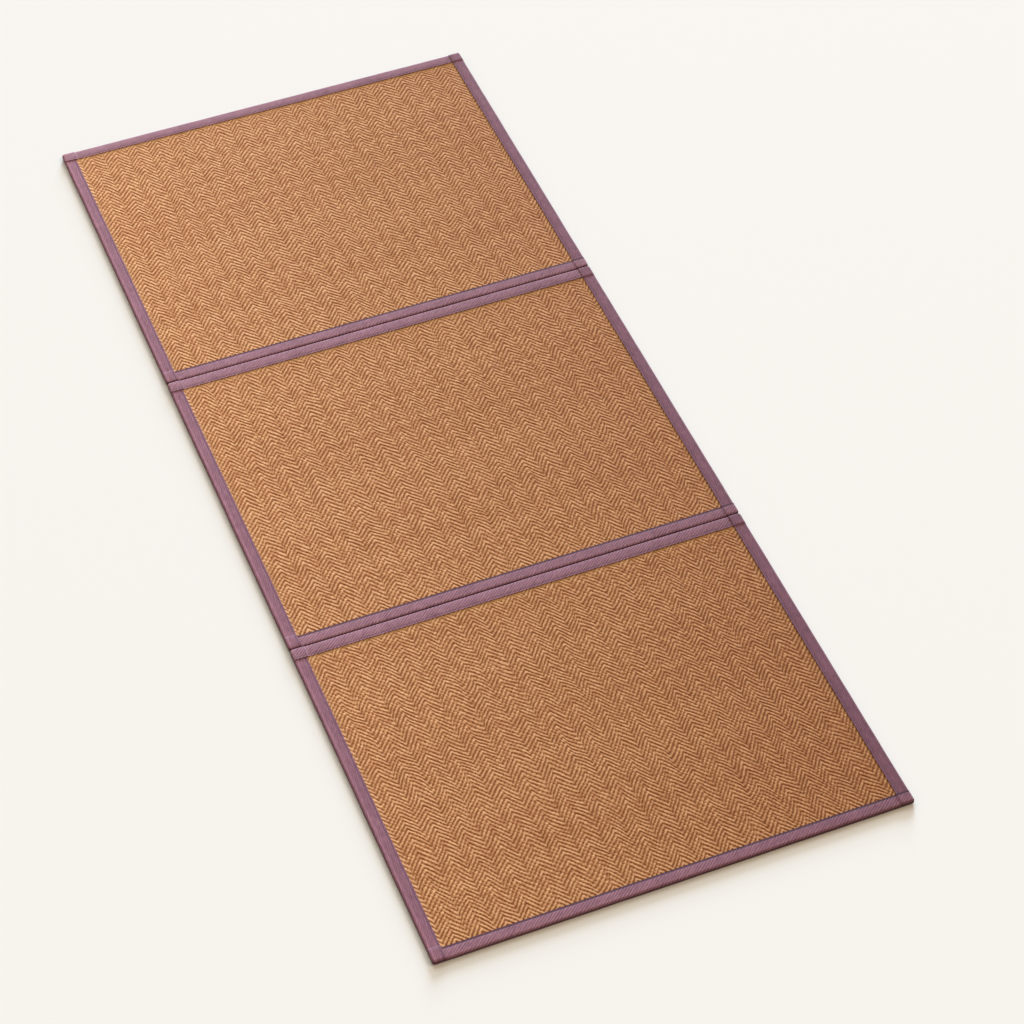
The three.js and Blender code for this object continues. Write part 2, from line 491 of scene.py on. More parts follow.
# Dyed rush has no gloss of its own: a rough surface with little mirror light looks dry.
dyed_rush, rush_tree, rush_shader = new_material("dyed_rush", "#bd8552", 0.8)
rush_shader.inputs["Specular IOR Level"].default_value = 0.2
weave = add(rush_tree, "ShaderNodeAttribute", attribute_name="weave").outputs["Vector"]
numbers = add(rush_tree, "ShaderNodeSeparateXYZ", {0: weave})
here = add(rush_tree, "ShaderNodeTexCoord").outputs["Object"]

# The stalks are uneven, so both sets of ridges waver, each in its own way.
uneven = add(
    rush_tree, "ShaderNodeTexNoise", {"Vector": here, "Scale": 1 / UNEVEN_SPAN, "Detail": 2.0}
)
waver = add(rush_tree, "ShaderNodeSeparateXYZ", {0: uneven.outputs["Color"]})
ridge_pushed = add(
    rush_tree,
    "ShaderNodeMath",
    {0: waver.outputs["X"], 1: RIDGE_WAVER, 2: numbers.outputs["Y"]},
    operation="MULTIPLY_ADD",
).outputs[0]
crossing_pushed = add(
    rush_tree,
    "ShaderNodeMath",
    {0: waver.outputs["Y"], 1: CROSSING_WAVER, 2: numbers.outputs["Z"]},
    operation="MULTIPLY_ADD",
).outputs[0]
ridge = add(
    rush_tree, "ShaderNodeMath", {0: ridge_pushed, 1: RIDGE_WAVER / 2}, operation="SUBTRACT"
).outputs[0]
crossing = add(
    rush_tree, "ShaderNodeMath", {0: crossing_pushed, 1: CROSSING_WAVER / 2}, operation="SUBTRACT"
).outputs[0]
print("the rush has", len(rush_tree.nodes), "nodes so far")

# %% [markdown]
# ## Rush: how high each float stands
# A float's back is where both ridges are high, and the dark hole between floats is where both are
# low. The crossing ridges are faint in the columns that rise to the right, and stronger in the
# columns that fall. They also come and go, as the weaver's hand was tighter or looser.

# %% Rush: floats
TIGHTNESS_SPAN = 13 * MM
TIGHTNESS_SHARE = 1.7
RISING_SHARE, FALLING_SHARE = -0.52, -0.38


def ridge_back(tree, number):
    """How high a point lies on its ridge, from the ridge's number: 0 in the groove, 1 on top."""
    part = add(tree, "ShaderNodeMath", {0: number}, operation="FRACT").outputs[0]
    off_centre = add(tree, "ShaderNodeMath", {0: part, 1: 0.5}, operation="SUBTRACT").outputs[0]
    distance = add(tree, "ShaderNodeMath", {0: off_centre}, operation="ABSOLUTE").outputs[0]
    return add(
        tree,
        "ShaderNodeMapRange",
        {"Value": distance, "From Min": 0.5, "From Max": 0.08},
        interpolation_type="SMOOTHSTEP",
    ).outputs[0]


half_column = add(
    rush_tree, "ShaderNodeMath", {0: numbers.outputs["X"], 1: 0.5}, operation="MULTIPLY"
).outputs[0]
half_part = add(rush_tree, "ShaderNodeMath", {0: half_column}, operation="FRACT").outputs[0]
falls = add(
    rush_tree, "ShaderNodeMath", {0: half_part, 1: 0.5}, operation="GREATER_THAN"
).outputs[0]
share = add(
    rush_tree,
    "ShaderNodeMapRange",
    {"Value": falls, "To Min": RISING_SHARE, "To Max": FALLING_SHARE},
).outputs[0]
tightness = add(
    rush_tree, "ShaderNodeTexNoise", {"Vector": here, "Scale": 1 / TIGHTNESS_SPAN, "Detail": 1.0}
).outputs["Fac"]
crossed = add(
    rush_tree,
    "ShaderNodeMath",
    {0: tightness, 1: TIGHTNESS_SHARE, 2: share},
    operation="MULTIPLY_ADD",
    use_clamp=True,
).outputs[0]
back, crossing_back = ridge_back(rush_tree, ridge), ridge_back(rush_tree, crossing)
height = add(rush_tree, "ShaderNodeMix", {0: crossed, 2: back, 3: crossing_back}).outputs[0]
print("the rush has", len(rush_tree.nodes), "nodes so far")

# %% [markdown]
# ## Rush: the dye
# No two stalks took the dye alike, so each float has a shade of its own, from the numbers of its
# two ridges. Fibres run along the stalks. Real ones are a fraction of a millimetre apart and too
# fine to show, so they are drawn as coarse as the render can hold: four to a column's width and
# twelve across a ridge, which is a fibre every 0.7 mm. Broad patches show where one bundle of rush
# ends and the next begins.

# %% Rush: shades of dye
FIBRES = (4, 12, 1)  # in a column, across a ridge, and across a crossing ridge
PATCH_SPAN = 60 * MM
SHADE_START, FLOAT_SHARE, FIBRE_SHARE, PATCH_SHARE = -0.49, 0.36, 0.9, 0.22

ridge_number = add(rush_tree, "ShaderNodeMath", {0: ridge}, operation="FLOOR").outputs[0]
crossing_number = add(rush_tree, "ShaderNodeMath", {0: crossing}, operation="FLOOR").outputs[0]
cell = add(
    rush_tree, "ShaderNodeCombineXYZ", {"X": ridge_number, "Y": crossing_number}
).outputs[0]
float_shade = add(
    rush_tree, "ShaderNodeTexWhiteNoise", {"Vector": cell}, noise_dimensions="2D"
).outputs["Value"]
stretch = add(
    rush_tree, "ShaderNodeMapping", {"Vector": weave, "Scale": FIBRES}
).outputs["Vector"]
fibre = add(
    rush_tree, "ShaderNodeTexNoise", {"Vector": stretch, "Scale": 1.0, "Detail": 3.0}
).outputs["Fac"]
patches = add(
    rush_tree, "ShaderNodeTexNoise", {"Vector": here, "Scale": 1 / PATCH_SPAN, "Detail": 4.0}
).outputs["Fac"]
shade = SHADE_START
for part, of_shade in ((float_shade, FLOAT_SHARE), (fibre, FIBRE_SHARE), (patches, PATCH_SHARE)):
    shade = add(
        rush_tree, "ShaderNodeMath", {0: part, 1: of_shade, 2: shade}, operation="MULTIPLY_ADD"
    ).outputs[0]
stalks = add(
    rush_tree,
    "ShaderNodeMix",
    {0: shade, 6: linear("#ad6c3b"), 7: linear("#e0a56e")},
    data_type="RGBA",
).outputs[2]
print("the rush has", len(rush_tree.nodes), "nodes so far")

# %% [markdown]
# ## Rush: painted shade, painted highlights and a painted light gradient
# The holes get painted shade, and the back of each float gets a painted highlight, stronger on some
# floats than on others. Close to the tapes the rush is painted lighter at the left, right and back,
# which also lifts the shadow the back tape casts, and painted a little darker at the front. Across
# the mat the colour is painted darker towards the near right and lighter towards the far left. That
# is one multiplication by a tone, as far as a point lies along it, and the cotton shares it.

# %% Rush: painted shade and light
SHADE_GRADIENT_START = 0.09  # how much painted shade the middle of the mat gets
SHADE_GRADIENT_ACROSS, SHADE_GRADIENT_ALONG = 1.33, -0.44  # how much that changes a metre to the right and a metre further back
HOLE, OPEN = 0.08, 0.6  # heights between which the painted shade of the holes ends
# Where the painted highlight on a float's back begins, its least strength, and how much more a
# float can have.
CREST = 0.66
HIGHLIGHT_LEAST, HIGHLIGHT_SPREAD = 0.25, 0.5


def painted_light_gradient(tree, colour, tone):
    """Paints shade on a colour towards the mat's near right corner, and paints it lighter towards
    the far left.
    """
    place = add(
        tree,
        "ShaderNodeSeparateXYZ",
        {0: add(tree, "ShaderNodeTexCoord").outputs["Object"]},
    )
    by_x = add(
        tree,
        "ShaderNodeMath",
        {0: place.outputs["X"], 1: SHADE_GRADIENT_ACROSS, 2: SHADE_GRADIENT_START},
        operation="MULTIPLY_ADD",
    ).outputs[0]
    depth = add(
        tree,
        "ShaderNodeMath",
        {0: place.outputs["Y"], 1: SHADE_GRADIENT_ALONG, 2: by_x},
        operation="MULTIPLY_ADD",
    ).outputs[0]
    return add(
        tree,
        "ShaderNodeMix",
        {0: depth, 6: colour, 7: linear(tone)},
        data_type="RGBA",
        blend_type="MULTIPLY",
        clamp_factor=False,
    ).outputs[2]


# Painted shade in the holes between floats, where both ridges are low.
open_hole = add(
    rush_tree,
    "ShaderNodeMapRange",
    {"Value": height, "From Min": HOLE, "From Max": OPEN},
    interpolation_type="SMOOTHSTEP",
).outputs[0]
woven = add(
    rush_tree,
    "ShaderNodeMix",
    {0: open_hole, 6: linear("#8d5530"), 7: stalks},
    data_type="RGBA",
).outputs[2]
# A painted highlight along the back of each float, stronger on some floats than on others.
crest = add(
    rush_tree, "ShaderNodeMapRange", {"Value": back, "From Min": CREST, "From Max": 1.0}
).outputs[0]
with_painted_light = add(
    rush_tree,
    "ShaderNodeMath",
    {0: float_shade, 1: HIGHLIGHT_SPREAD, 2: HIGHLIGHT_LEAST},
    operation="MULTIPLY_ADD",
).outputs[0]
painted_light = add(rush_tree, "ShaderNodeMath", {0: crest, 1: with_painted_light}, operation="MULTIPLY").outputs[0]
highlighted = add(
    rush_tree,
    "ShaderNodeMix",
    {0: painted_light, 6: woven, 7: linear("#e9b685")},
    data_type="RGBA",
).outputs[2]
# Painted light close to the tapes: lighter at the left, right and back, a little darker at the
# front.
beside = add(rush_tree, "ShaderNodeAttribute", attribute_name="painted_edge_light").outputs["Fac"]
rush_colour = add(
    rush_tree,
    "ShaderNodeMix",
    {0: beside, 6: highlighted, 7: linear("#f4c693")},
    data_type="RGBA",
    clamp_factor=False,
).outputs[2]
# A painted light gradient over the rush: painted shade towards the near right, painted light
# towards the far left.
rush_tree.links.new(painted_light_gradient(rush_tree, rush_colour, "#d2c5b3"), rush_shader.inputs["Base Color"])
print("the rush has", len(rush_tree.nodes), "nodes so far")

# %% [markdown]
# ## Rush: relief
# The ridges are real, but the floats and their fibres are too small for the mesh. They only tilt
# the light, so a bump is enough for them. Its distance is how far a float's back stands over a
# hole, a little under a millimetre.

# %% Rush: relief
FIBRE_RELIEF = 0.35  # of a float's
FLOAT_RELIEF = 0.8 * MM
BUMP_STRENGTH = 0.8

relief = add(
    rush_tree, "ShaderNodeMath", {0: fibre, 1: FIBRE_RELIEF, 2: height}, operation="MULTIPLY_ADD"
).outputs[0]
bump = add(
    rush_tree,
    "ShaderNodeBump",
    {"Height": relief, "Strength": BUMP_STRENGTH, "Distance": FLOAT_RELIEF},
)
rush_tree.links.new(bump.outputs["Normal"], rush_shader.inputs["Normal"])
for piece in rush.values():
    piece.data.materials.append(dyed_rush)
print("the rush is done, with", len(rush_tree.nodes), "nodes")

# %% [markdown]
# ## The binding tapes
# Each tape is a flat cotton ribbon, folded round the edge of the rush and stitched down, so its
# section is a letter C. Its end wraps the panel's corner, over the start of the next tape. It is
# made as it is sewn. A flat grid is laid out in the tape's own measures, along and across, and one
# function says where each point of the ribbon goes. At the corner the grid's two edges are drawn
# together into a fan, which gives the corner its round outline without a cut. That makes the upper
# half. The lower half is its mirror image, less what isn't there on this tape.

# %% The ribbon, laid out flat
ACROSS = (0, 0.8, 1.6, 2.3, 3, 3.9, 5.5, 7.5, 9.5, 11.5, 13.5)  # mm in from the selvedge
AT_START = (3, 11)  # mm from the tape's start, under the lap of the last tape
AT_LAP = (2.8, 5, 8, 11)  # mm from where it begins to lie on the next tape
STEP = 9 * MM  # along the plain part of a tape
LAP_SLOPE = 4 * MM
SLOPE_LINES = 9
BEND_STEPS = 5

flat_edge = CORNER_RADIUS - EDGE_RADIUS
bend_length = 0.5 * math.pi * EDGE_RADIUS
half_wall = TAPE_TOP / 2 - EDGE_RADIUS
AROUND = [0] + [flat_edge + bend_length * i / BEND_STEPS for i in range(BEND_STEPS + 1)]
AROUND += [AROUND[-1] + half_wall]


def across_places():
    """The grid lines across a tape: from its edge, then negative as they go round the edge."""
    flap = [TAPE_WIDTH - step * MM for step in ACROSS]
    return flap + [CORNER_RADIUS - past for past in AROUND]


def along_places(length):
    """The grid lines along a tape, from its lapped start to its wrapped end. They are close where
    it climbs, from a little before the slope to a little past it."""
    start = [step * MM for step in AT_START] + [LAP_LENGTH, LAP_LENGTH + 1 * MM]
    lap = length - LAP_LENGTH
    slope = [lap - LAP_SLOPE * (1.4 - 0.2 * i) for i in range(SLOPE_LINES)]
    count = round((slope[0] - start[-1]) / STEP)
    plain = [start[-1] + (slope[0] - start[-1]) * i / count for i in range(1, count)]
    end = [lap + step * MM for step in AT_LAP]
    return start + plain + slope + end + [length - CORNER_RADIUS + past for past in AROUND]


print("a tape has", len(across_places()), "lines across and", len(along_places(0.7)), "along it")

# %% [markdown]
# ## Fold the ribbon
# Bending the ribbon with modifiers would need one for each bend, and the corner has two at once.
# Instead a function takes a point of the flat ribbon, and says how far it has gone out and down
# round the edge. At the corner, where it goes round two edges, it turns through a quarter circle.

# %% Fold the ribbon


def round_the_edge(past):
    """How far out a point of the ribbon reaches, and how far it has gone down."""
    if past <= flat_edge:
        return past, 0.0
    turn = min((past - flat_edge) / EDGE_RADIUS, 0.5 * math.pi)
    down = EDGE_RADIUS * (1 - math.cos(turn)) + max(0, past - flat_edge - bend_length)
    return flat_edge + EDGE_RADIUS * math.sin(turn), down


def fold(along, across, length):
    """Where a point of the flat ribbon goes: along the panel's edge, in from it, and down."""
    past_end = along - (length - CORNER_RADIUS)
    past_edge = CORNER_RADIUS - across
    if past_end <= 0 and past_edge <= 0:
        return along, across, 0.0
    if past_end <= 0:
        out, down = round_the_edge(past_edge)
        return along, CORNER_RADIUS - out, down
    if past_edge <= 0:
        out, down = round_the_edge(past_end)
        return length - CORNER_RADIUS + out, across, down
    out, down = round_the_edge(max(past_end, past_edge))
    turn = 0.25 * math.pi * min(past_end, past_edge) / max(past_end, past_edge)
    if past_edge > past_end:
        turn = 0.5 * math.pi - turn
    along = length - CORNER_RADIUS + out * math.cos(turn)
    return along, CORNER_RADIUS - out * math.sin(turn), down


_, gone_down = round_the_edge(3 * MM)
print("3 mm round the edge a ribbon has gone down", round(gone_down / MM, 2), "mm")

# %% [markdown]
# ## Where a tape is pressed, sewn and lapped
# Sewn cloth isn't flat. The ribbon is full between its edge and its stitches, and drawn down along
# the seam. It dips in a crease where it starts to climb onto the tape that it laps. At a fold the
# tapes of two panels press on each other, so their bends are tighter and reach further out.

# %% Press, sew and lap
SWELL = 0.75 * MM  # how far a tape bulges towards its neighbour across a fold
TIGHT = 0.55  # under 1 is a tighter bend than a round one
CREASE_BEFORE = 0.6 * MM  # from the crease to the tape that is lapped
CREASE_WIDTH = 0.7 * MM
SEAM_WIDTH = 0.8 * MM
FULL_STARTS = 0.5 * MM  # in from the edge
FULL_ROUND = 0.8  # under 1 is a flatter top than a sine's
FULL_AFTER = 8 * MM  # past the lap at the tape's start, which is pressed flat
FULL, SEAM_DEPTH, PRESSED_DEPTH, CREASE_DEPTH, RIPPLE = 0.3, 0.25, 0.15, 0.35, 0.12  # in mm
RIPPLE_ALONG, RIPPLE_ACROSS = 16 * MM, 9 * MM


def press_tight(to_edge, down):
    """Makes the bend at an edge tighter and pushes it out to its neighbour, as at a fold."""
    turn = math.acos(max(0, 1 - down / EDGE_RADIUS))
    out = EDGE_RADIUS * math.sin(turn)
    share = max(0, min(1, (EDGE_RADIUS - to_edge) / out)) if out > 0 else 0
    tighter = EDGE_RADIUS * math.sin(turn) ** TIGHT - out
    less_down = EDGE_RADIUS * (math.cos(turn) - math.cos(turn) ** TIGHT)
    if down >= EDGE_RADIUS:
        less_down = 0
    return to_edge - share * (tighter + SWELL * math.sin(turn)), down + share * less_down


def lap_crease(along, length):
    """1 in the crease where the ribbon starts to climb onto the tape that it laps, and 0 off it."""
    return hump(along - (length - LAP_LENGTH - CREASE_BEFORE), CREASE_WIDTH)


def lap_climb(along, length):
    """How far the ribbon has climbed onto the tape that it laps."""
    return LAP_RISE * ease((along - (length - LAP_LENGTH - LAP_SLOPE)) / LAP_SLOPE)


def sewn_relief(along, inward, length, seed):
    """How high the sewn ribbon stands over a plain one: full near its edge, low at its stitches."""
    body = TAPE_WIDTH - STITCH_INSET
    on_lap = along >= length - LAP_LENGTH
    from_edge = min(inward, length - along) if on_lap else inward
    full = math.sin(math.pi * max(0, min(1, (from_edge - FULL_STARTS) / body))) ** FULL_ROUND
    full *= ease((along - LAP_LENGTH) / FULL_AFTER)
    height = (
        FULL * full
        - SEAM_DEPTH * hump(inward - body, SEAM_WIDTH)
        - PRESSED_DEPTH * ease((inward - body) / STITCH_INSET)
        - CREASE_DEPTH * lap_crease(along, length)
        + RIPPLE * wander(along / RIPPLE_ALONG, inward / RIPPLE_ACROSS, seed)
    )
    return height * MM


seam_relief = sewn_relief(0.3, TAPE_WIDTH - STITCH_INSET, 0.7, 0.5)
print("half way along a tape its seam stands", round(seam_relief / MM, 2), "mm over a plain ribbon")

# %% [markdown]
# ## Where a tape gets painted shade and painted highlight
# Painted shade goes along a seam, in a crease and on the wall where the tape turns down to the
# floor, and the shoulder that stands highest gets a painted highlight. The light falls differently
# on the four sides of a mat, so each has its own measure of both. These shares are worked out point
# by point, and kept as two numbers on the mesh for the material to read.

# %% Painted shade and highlight on the tapes
# Painted shade along each side's seam, strongest at the front.
SEAM_DARK = {"front": 0.85, "right": 0.08, "back": 0.12, "left": 0.5}
# Painted highlight on each side's shoulder; on the right side it is negative, a painted shade.
SHOULDER_LIGHT = {"front": 0.1, "right": -0.3, "back": 0.1, "left": 0.7}
OUTER_DARK, OUTER_STARTS, OUTER_WIDTH = 0.95, 17.8 * MM, 2.4 * MM  # painted shade on the wall where the tape turns to the floor, starting this far in from the selvedge
# Painted shade in the crease where the tape starts to climb onto the lap.
CREASE_DARK = 0.55
SEAM_DARK_WIDTH = 0.9 * MM
FRONT_DARK_ENDS, FRONT_DARK_WIDTH = 4.2 * MM, 2 * MM  # the front seam is dark to the selvedge
SHOULDER, SHOULDER_WIDTH = 14.7 * MM, 1.6 * MM


def painted_tape_light(side, along, across, length):
    """How much painted shade the ribbon has at its seam, crease and outer edge, and how much
    painted highlight on its shoulder.
    """
    inward = TAPE_WIDTH - across
    from_end = TAPE_WIDTH - (length - along)
    outer = OUTER_DARK * ease((max(inward, from_end) - OUTER_STARTS) / OUTER_WIDTH)
    seam_dark = hump(inward - STITCH_INSET, SEAM_DARK_WIDTH)
    if side == "front":
        seam_dark = ease((FRONT_DARK_ENDS - inward) / FRONT_DARK_WIDTH)
    dark = outer + SEAM_DARK[side] * seam_dark + CREASE_DARK * lap_crease(along, length)
    return min(1, dark), SHOULDER_LIGHT[side] * hump(inward - SHOULDER, SHOULDER_WIDTH)


# The left tape's shoulder: how much painted shade and how much painted highlight it gets.
dark_share, light_share = painted_tape_light("left", 0.3, TAPE_WIDTH - SHOULDER, 0.7)
print("the left tape's shoulder is", round(dark_share, 2), "dark and", light_share, "painted_light")

# %% [markdown]
# ## Each tape's side of the panel
# All twelve tapes are made alike, along +X, and a matrix then lays each on its side. They differ in
# what they lack: the start of each lies flat under the end of the last one, and the tapes at a fold
# have no flap underneath, because the fold strip lies there. What is missing is cut away.

# %% Find each tape's side, and trim it
TURNS = {"front": 0, "right": 1, "back": 2, "left": 3}
FOLDS = {"near": ("back",), "middle": ("front", "back"), "far": ("front",)}
ENDS_AT = {"front": "right", "right": "back", "back": "left", "left": "front"}
STRIP_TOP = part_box("fold_strip_near")[1].z + 0.3 * MM


def along_the_side(panel, side):
    """The side's length, and the matrix that lays a tape made along +X on it."""
    low, high = panel_box(panel)
    corner = ((low.x, low.y), (high.x, low.y), (high.x, high.y), (low.x, high.y))[TURNS[side]]
    length = (high - low)[TURNS[side] % 2]
    turn = Matrix.Rotation(0.5 * math.pi * TURNS[side], 4, "Z")
    return length, Matrix.Translation((*corner, 0)) @ turn


def trim(ribbon, cloth, panel, side, length):
    """Takes away what a tape doesn't have: its fold under a lap, and the flap over a fold strip."""

    def drop(where):
        """Deletes the faces that a test of their centre picks out."""
        faces = [face for face in ribbon.faces if where(face.calc_center_median(), face)]
        bmesh.ops.delete(ribbon, geom=faces, context="FACES")

    def lapped(centre, face):
        """True for what would lie under the lap, but for the flap on top of the panel."""
        around = sum(vertex[cloth].y for vertex in face.verts)
        turned = around > (TAPE_WIDTH - EDGE_RADIUS) * len(face.verts)
        return centre.x < LAP_LENGTH and (centre.z < TAPE_TOP / 2 or turned)

    def over_strip(centre, face):
        """True for what would lie where the fold strip is, from where this tape meets the fold."""
        return centre.z < STRIP_TOP and centre.x > start

    drop(lapped)
    fold_side = side in FOLDS[panel]
    if fold_side or ENDS_AT[side] in FOLDS[panel]:
        start = 0 if fold_side else length - LAP_LENGTH
        everything = ribbon.verts[:] + ribbon.edges[:] + ribbon.faces[:]
        bmesh.ops.bisect_plane(
            ribbon, geom=everything, plane_co=(0, 0, STRIP_TOP), plane_no=(0, 0, 1)
        )
        drop(over_strip)


print("the front tape of a panel is", round(along_the_side("near", "front")[0] / MM), "mm long")

# %% [markdown]
# ## The upper half of a tape
# The grid's lines are numbered, so each point knows its place on the flat ribbon. It is folded, and
# pressed if it is at a fold of the mat, and its edge is made to waver, as no edge is sewn straight.
# It also keeps its flat place, which the twill's ribs follow, and its two shares of painted shade
# and highlight.

# %% Fold the upper half
EDGE_WAVER, EDGE_WAVER_SPAN = 0.25 * MM, 38 * MM
EDGE_WAVER_ENDS = 6 * MM  # in from the edge


def upper_half(panel, side, length, seed):
    """The upper half of a tape, folded from a flat grid. Returns it and its layer of places."""
    along_lines, across_lines = along_places(length), across_places()
    columns, rows = len(along_lines) - 1, len(across_lines) - 1
    ribbon = bmesh.new()
    cloth = ribbon.verts.layers.float_vector.new("cloth")
    # Two layers: how much painted shade and how much painted highlight each point gets.
    dark = ribbon.verts.layers.float.new("dark")
    painted_light = ribbon.verts.layers.float.new("painted_light")
    bmesh.ops.create_grid(ribbon, x_segments=columns, y_segments=rows, size=0.5)
    for vertex in ribbon.verts:
        flat_along = along_lines[round((vertex.co.x + 0.5) * columns)]
        flat_across = across_lines[round((0.5 - vertex.co.y) * rows)]
        along, inward, down = fold(flat_along, flat_across, length)
        if side in FOLDS[panel]:
            inward, down = press_tight(inward, down)
        if ENDS_AT[side] in FOLDS[panel]:
            to_end, down = press_tight(length - along, down)
            along = length - to_end
        waver = EDGE_WAVER * wander(flat_along / EDGE_WAVER_SPAN, 0.5, seed + 5)
        inward += waver * (1 - ease(inward / EDGE_WAVER_ENDS))
        vertex.co = (along, inward, TAPE_TOP - down)
        vertex[cloth] = (flat_along, TAPE_WIDTH - flat_across, seed)
        vertex[dark], vertex[painted_light] = painted_tape_light(side, flat_along, flat_across, length)
    return ribbon, cloth


sample, _ = upper_half("near", "front", 0.7, 0.5)
print("half a tape has", len(sample.verts), "points")
sample.free()

# %% [markdown]
# ## Twelve whole tapes
# The lower half is made by mirror, and both get the relief of sewn cloth. Solidify then gives the
# ribbon its thickness inwards, so the outside stays where it was measured. Where the surface turns
# sharply, at the cut ends and the selvedge, the shading has a crease, and elsewhere it is smooth.

# %% Mirror, sew and lay the tapes
SHARP = math.radians(40)  # where the surface turns more than this, its shading has a crease


def sew_down(ribbon, cloth, length, seed):
    """Gives both halves the relief of sewn cloth, and lifts the upper one over the lap."""
    for vertex in ribbon.verts:
        half = (vertex.co.z - TAPE_TOP / 2) / (TAPE_TOP / 2)
        relief = sewn_relief(vertex.co.x, vertex.co.y, length, seed)
        if half > 0:
            vertex.co.z += relief * ease(half) + lap_climb(vertex.co.x, length) * min(1, 2 * half)
        else:
            vertex.co.z += max(0, -relief) * ease(-half)
            vertex[cloth].y = 2 * TAPE_WIDTH + TAPE_TOP - vertex[cloth].y


def folded_tape(panel, side, seed):
    """One binding tape, from its flat ribbon to its place on the mat."""
    length, place = along_the_side(panel, side)
    ribbon, cloth = upper_half(panel, side, length, seed)
    bmesh.ops.mirror(
        ribbon,
        geom=ribbon.verts[:] + ribbon.edges[:] + ribbon.faces[:],
        matrix=Matrix.Translation((0, 0, -TAPE_TOP / 2)),
        merge_dist=0.001 * MM,
        axis="Z",
    )
    trim(ribbon, cloth, panel, side, length)
    sew_down(ribbon, cloth, length, seed)

    # A mirror turns its half inside out, so the faces are turned outwards before they get a wall.
    bmesh.ops.recalc_face_normals(ribbon, faces=ribbon.faces[:])
    top_face = max(ribbon.faces, key=lambda face: face.calc_center_median().z)
    if top_face.normal.z < 0:
        bmesh.ops.reverse_faces(ribbon, faces=ribbon.faces[:])
    bmesh.ops.solidify(ribbon, geom=ribbon.faces[:], thickness=TAPE_THICK)
    for edge in ribbon.edges:
        edge.smooth = edge.calc_face_angle(0) < SHARP
    for face in ribbon.faces:
        face.smooth = True
    ribbon.transform(place)
    return finished(ribbon, f"binding_{panel}_{side}")


tape_seeds = {
    (panel, side): 10.0 * number + TURNS[side] + 0.5
    for number, panel in enumerate(PANELS)
    for side in SIDES
}
tapes = {at: folded_tape(*at, seed) for at, seed in tape_seeds.items()}
count = sum(len(tape.data.polygons) for tape in tapes.values())
print(len(tapes), "tapes with", count, "faces")

# %% [markdown]
# ## The stitching
# A lockstitch shows as a row of short, tight floats of thread, each one pulled into the cloth at
# both ends. Each float is a low ball, stretched along the seam. There are thousands, so the ball
# has few faces. The seam runs just inside the tape's selvedge, and on over the lap to the edge.

# %% Stitch the tapes down
STITCH_PITCH = 4.2 * MM
STITCH_LENGTH = 2.8 * MM
STITCH_WIDTH = 1.4 * MM
STITCH_HEIGHT = 0.6 * MM
STITCH_SWAY = 0.12 * MM
STITCH_SKEW = math.radians(4)  # the two threads of a lockstitch pull each float a little askew
SLOPE_REACH = 0.8 * MM  # before and behind, to measure the slope that a float lies on
SEAM_ENDS = 2.5 * MM  # from the tape's end


def seam(panel, side, seed):
    """One tape's line of stitches."""
    length, place = along_the_side(panel, side)
    inward = TAPE_WIDTH - STITCH_INSET
    first, last = LAP_LENGTH + 0.5 * STITCH_PITCH, length - SEAM_ENDS
    count = math.floor((last - first) / STITCH_PITCH)
    thread = bmesh.new()
    for i in range(count + 1):
        along = first + i * STITCH_PITCH
        climb = lap_climb(along + SLOPE_REACH, length) - lap_climb(along - SLOPE_REACH, length)
        height = TAPE_TOP + sewn_relief(along, inward, length, seed) + lap_climb(along, length)
        sway = STITCH_SWAY * wander(i * 0.7, seed, 0)

        # Read from the last line up: the ball's poles are turned to the thread's ends, and it is
        # stretched, skewed, tilted up the slope and put in its place.
        lie = Matrix.Translation((along, inward + sway, height))
        lie @= Matrix.Rotation(-math.atan2(climb, 2 * SLOPE_REACH), 4, "Y")
        lie @= Matrix.Rotation(STITCH_SKEW, 4, "Z")
        lie @= Matrix.Diagonal((STITCH_LENGTH / 2, STITCH_WIDTH / 2, STITCH_HEIGHT / 2, 1))
        lie @= Matrix.Rotation(math.radians(90), 4, "Y")
        bmesh.ops.create_uvsphere(thread, u_segments=6, v_segments=5, radius=1, matrix=lie)
    thread.transform(place)
    made = finished(thread, f"stitches_{panel}_{side}")
    made.data.shade_smooth()
    return made


seams = {at: seam(*at, seed) for at, seed in tape_seeds.items()}
count = sum(len(made.data.polygons) for made in seams.values())
print(len(seams), "seams with", count, "faces")

# %% [markdown]
# ## The fold strips
# Under each fold a strip of plain cotton joins the two panels. All that shows of it is a dark line
# at the bottom of the groove. It hangs a little slack between the two edges that it is sewn to.

# %% Fold strips
STRIP_COLUMNS, STRIP_ROWS = 90, 16
STRIP_THICK = 0.7 * MM
STRIP_HEIGHT = 0.75 * MM
STRIP_RIPPLE, RIPPLE_X, RIPPLE_Y = 0.1 * MM, 30 * MM, 12 * MM
SLACK_DEPTH, SLACK_REACH = 0.12 * MM, 4 * MM


def fold_strip(name):
    """The strip under one fold, rippled where it is sewn and slack between."""
    low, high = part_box(name)
    strip = bmesh.new()
    cloth = strip.verts.layers.float_vector.new("cloth")
    bmesh.ops.create_grid(strip, x_segments=STRIP_COLUMNS, y_segments=STRIP_ROWS, size=0.5)
    centre, size = (low + high) / 2, high - low
    for vertex in strip.verts:
        x, y = vertex.co.x * size.x, vertex.co.y * size.y
        slack = ease(1 - abs(y) / SLACK_REACH)
        lift = STRIP_RIPPLE * (1 + wander(x / RIPPLE_X, y / RIPPLE_Y, centre.y)) * (1 - slack)
        vertex.co = (centre.x + x, centre.y + y, STRIP_HEIGHT + lift - SLACK_DEPTH * slack)
        vertex[cloth] = (x, y, 1)
    bmesh.ops.solidify(strip, geom=strip.faces[:], thickness=STRIP_THICK)
    return finished(strip, name.replace("fold_strip", "joining_strip"))


strips = {name: fold_strip(name) for name in ("fold_strip_near", "fold_strip_far")}
print([strip.name for strip in strips.values()])

